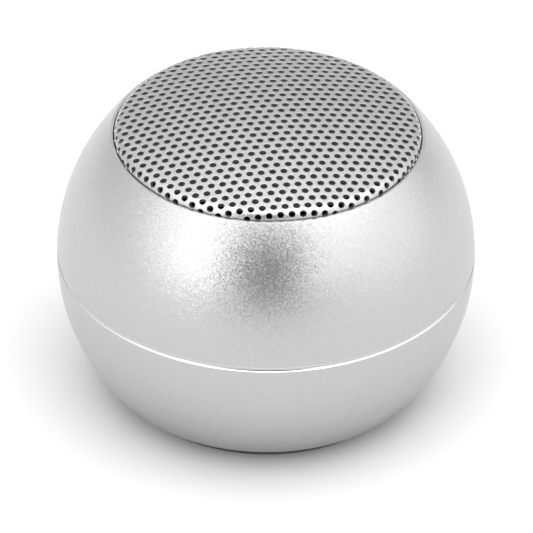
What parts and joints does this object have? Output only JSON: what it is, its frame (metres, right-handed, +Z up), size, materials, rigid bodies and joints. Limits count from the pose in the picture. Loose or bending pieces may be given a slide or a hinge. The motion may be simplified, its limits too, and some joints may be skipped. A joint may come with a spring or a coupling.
{
  "type": "desktop ball speaker",
  "caption": "Small ball-shaped desktop loudspeaker with a metal shell split at the middle, a domed perforated grille on top, a rubber foot, a push button below and a charging socket behind.",
  "frame": {"origin": "centre of the face that the rubber foot rests on", "axes": "+Z up through the middle of the grille, +Y towards the charging socket at the back, -Y the front"},
  "size_m": [0.05, 0.05, 0.0372],
  "materials": {
    "shell_aluminium": "bead blasted and anodised",
    "grille_aluminium": "satin anodised",
    "acoustic_cloth": "fine black weave",
    "grey_moulding": "fine moulded texture",
    "black_moulding": "fine moulded texture",
    "foot_rubber": "matte",
    "screw_steel": "zinc plated",
    "socket_steel": "nickel plated",
    "tongue_plastic": "moulded",
    "clear_plastic": "clear, frosted end",
    "board_laminate": "solder mask",
    "chip_epoxy": "moulded epoxy",
    "passive_ceramic": "ceramic with tinned ends",
    "ferrite": "ferrite",
    "can_metal": "nickel plated can",
    "white_ceramic": "glazed ceramic",
    "header_nylon": "natural nylon",
    "light_epoxy": "phosphor and clear epoxy",
    "spring_steel": "bright",
    "cell_foil": "pouch foil",
    "grey_foam": "closed cell foam",
    "basket_steel": "black paint on pressed steel",
    "soft_iron": "zinc plated soft iron",
    "magnet_nickel": "nickel plated neodymium",
    "former_paper": "kraft paper",
    "winding_copper": "enamelled copper",
    "cone_paper": "pressed paper pulp",
    "surround_rubber": "satin",
    "spider_cloth": "resin-treated cotton",
    "fibre_board": "fibre strip with tinned tags",
    "lead_red": "insulated wire",
    "lead_black": "insulated wire"
  },
  "bodies": {
    "housing": {"upper_shell": "shell_aluminium", "lower_shell": "shell_aluminium", "speaker_grille": "grille_aluminium", "dust_cloth": "acoustic_cloth", "foot_ring": "foot_rubber", "base_plate": "grey_moulding", "port_bezel": "black_moulding", "socket_shell": "socket_steel", "socket_tongue": "tongue_plastic", "light_pipe": "clear_plastic", "mic_boot": "foot_rubber", "seam_ring": "black_moulding", "grille_seat": "black_moulding", "inner_frame": "black_moulding", "base_screws": "screw_steel", "board_screws": "screw_steel", "driver_basket": "basket_steel", "driver_gasket": "grey_foam", "driver_yoke": "soft_iron", "driver_magnet": "magnet_nickel", "pole_plate": "soft_iron", "cone_surround": "surround_rubber", "cone_spider": "spider_cloth", "terminal_strip": "fibre_board", "battery_cell": "cell_foil", "battery_pad": "grey_foam", "main_board": "board_laminate", "board_chips": "chip_epoxy", "board_passives": "passive_ceramic", "board_inductors": "ferrite", "clock_crystal": "can_metal", "chip_antenna": "white_ceramic", "speaker_header": "header_nylon", "battery_header": "header_nylon", "status_light": "light_epoxy", "microphone": "can_metal", "switch_body": "black_moulding", "switch_dome": "spring_steel", "speaker_lead_red": "lead_red", "speaker_lead_black": "lead_black", "battery_lead_red": "lead_red", "battery_lead_black": "lead_black"},
    "button": {"power_button": "grey_moulding"},
    "plunger": {"switch_plunger": "black_moulding"},
    "cone_assembly": {"driver_cone": "cone_paper", "dust_cap": "cone_paper", "voice_former": "former_paper", "voice_winding": "winding_copper"}
  },
  "joints": [
    {"name": "button_press", "type": "slide", "parent": "housing", "child": "button", "axis": [0, 0, 1], "range_m": [0, 0.00025], "stiffness_N_per_m": 3000, "springref_m": -0.0001},
    {"name": "switch_press", "type": "slide", "parent": "housing", "child": "plunger", "axis": [0, 0, 1], "range_m": [0, 0.00025], "deforming": ["switch_dome"]},
    {"name": "cone_travel", "type": "slide", "parent": "housing", "child": "cone_assembly", "axis": [0, 0, 1], "range_m": [-0.001, 0.001], "stiffness_N_per_m": 1500, "deforming": ["cone_surround", "cone_spider"]}
  ],
  "couplings": [
    {"joint": "switch_press", "follows": "button_press", "ratio": 1}
  ]
}
